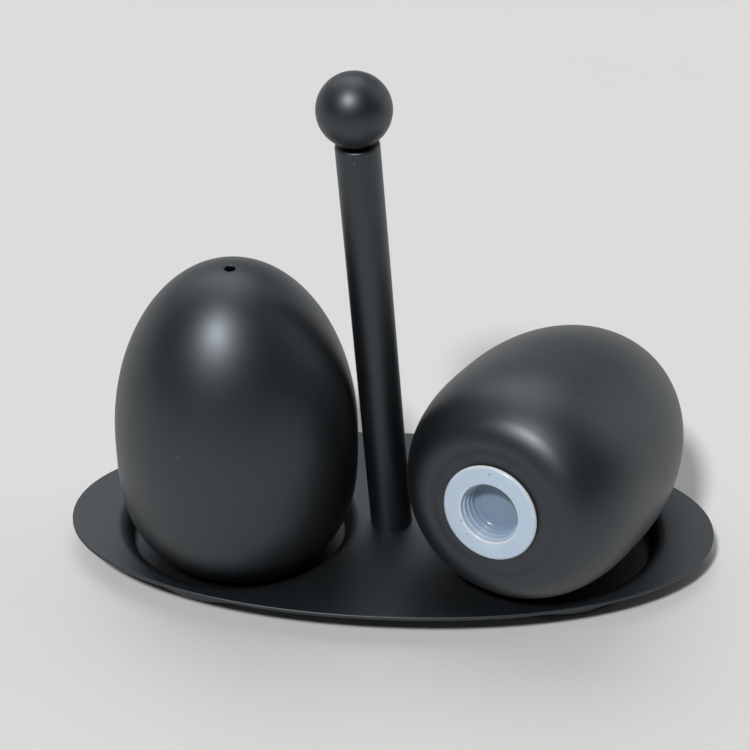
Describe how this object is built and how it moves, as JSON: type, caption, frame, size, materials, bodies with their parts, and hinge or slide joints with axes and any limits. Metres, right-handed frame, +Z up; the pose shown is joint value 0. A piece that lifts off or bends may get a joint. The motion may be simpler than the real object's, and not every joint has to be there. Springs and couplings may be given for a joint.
{
  "type": "salt and pepper shaker set",
  "caption": "Egg-shaped salt and pepper shakers with soft base stoppers, on an oval tray with round wells, a leaning carrying post and a ball knob.",
  "frame": {"origin": "middle of the oval tray, on the table that it stands on", "axes": "+X along the tray's length, from the standing shaker towards the lying one; +Y to the back; +Z up"},
  "size_m": [0.136, 0.0674, 0.1093],
  "materials": {
    "black_coating": "fine matt black coating over steel, satin sheen",
    "bare_steel": "plain zinc-bright steel",
    "milky_soft_plastic": "translucent bluish-white soft plastic, smooth"
  },
  "bodies": {
    "stand": {"tray": "black_coating", "post": "black_coating", "ball_knob": "black_coating", "knob_stud": "bare_steel", "post_washer": "bare_steel", "post_screw": "bare_steel"},
    "salt_shaker": {"salt_shell": "black_coating", "salt_base_disc": "black_coating"},
    "salt_plug": {"salt_stopper": "milky_soft_plastic"},
    "pepper_shaker": {"pepper_shell": "black_coating", "pepper_base_disc": "black_coating"},
    "pepper_plug": {"pepper_stopper": "milky_soft_plastic"}
  },
  "joints": [
    {"name": "salt_lift", "type": "slide", "parent": "stand", "child": "salt_shaker", "axis": [-0.0767, 0, 0.9971], "range_m": [0, 0.045]},
    {"name": "salt_stopper_pull", "type": "slide", "parent": "salt_shaker", "child": "salt_plug", "axis": [0, 0, -1], "range_m": [0, 0.01]},
    {"name": "pepper_lift", "type": "slide", "parent": "stand", "child": "pepper_shaker", "axis": [0, 0, 1], "range_m": [0, 0.045]},
    {"name": "pepper_stopper_pull", "type": "slide", "parent": "pepper_shaker", "child": "pepper_plug", "axis": [-0.4344, -0.8907, 0.134], "range_m": [0, 0.01]}
  ],
  "couplings": [
    {"joint": "salt_stopper_pull", "follows": "salt_lift", "ratio": 0.222}
  ]
}
